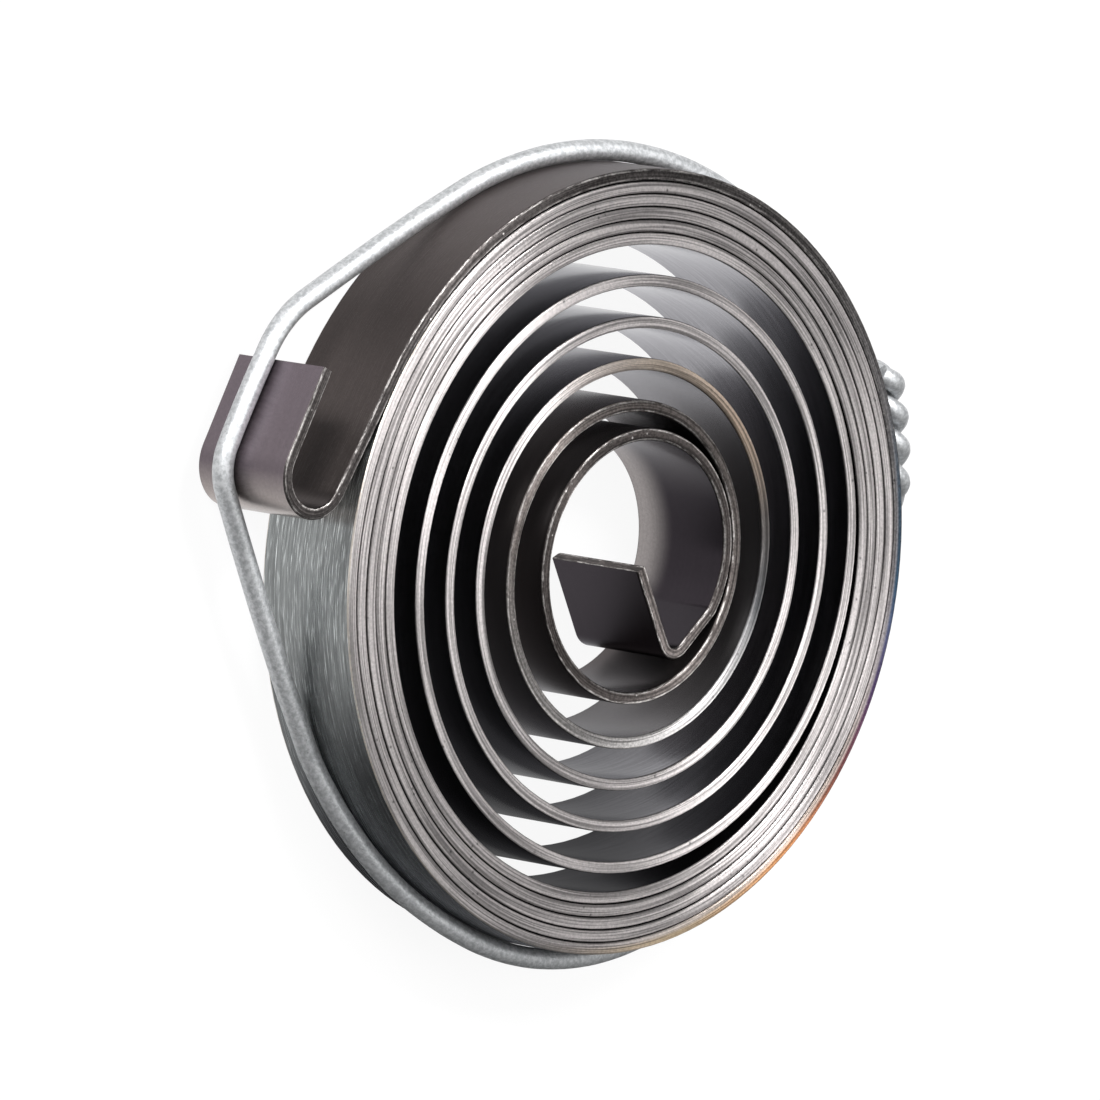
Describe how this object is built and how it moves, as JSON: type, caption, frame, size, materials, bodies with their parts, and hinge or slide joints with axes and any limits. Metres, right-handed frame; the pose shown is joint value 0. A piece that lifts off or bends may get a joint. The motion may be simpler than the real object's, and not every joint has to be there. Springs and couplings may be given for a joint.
{
  "type": "drill press return spring",
  "caption": "Flat spiral return spring of steel strip with an outer hook, an inner tab and a twisted retaining wire round its rim.",
  "frame": {"origin": "on the coil axis, level with the lower edges of the strip", "axes": "+Z along the coil axis, up through the coil; +X from the axis away from the outer hook; +Y the way the hook's mouth opens"},
  "size_m": [0.0602, 0.0543, 0.008],
  "materials": {
    "spring_strip": "hardened steel strip, darkened and heat tinted at both ends, bright at the slit edges",
    "tie_wire": "soft galvanised wire, dull and speckled"
  },
  "bodies": {
    "root": {"coil_spring": "spring_strip", "retaining_wire": "tie_wire"}
  },
  "joints": []
}
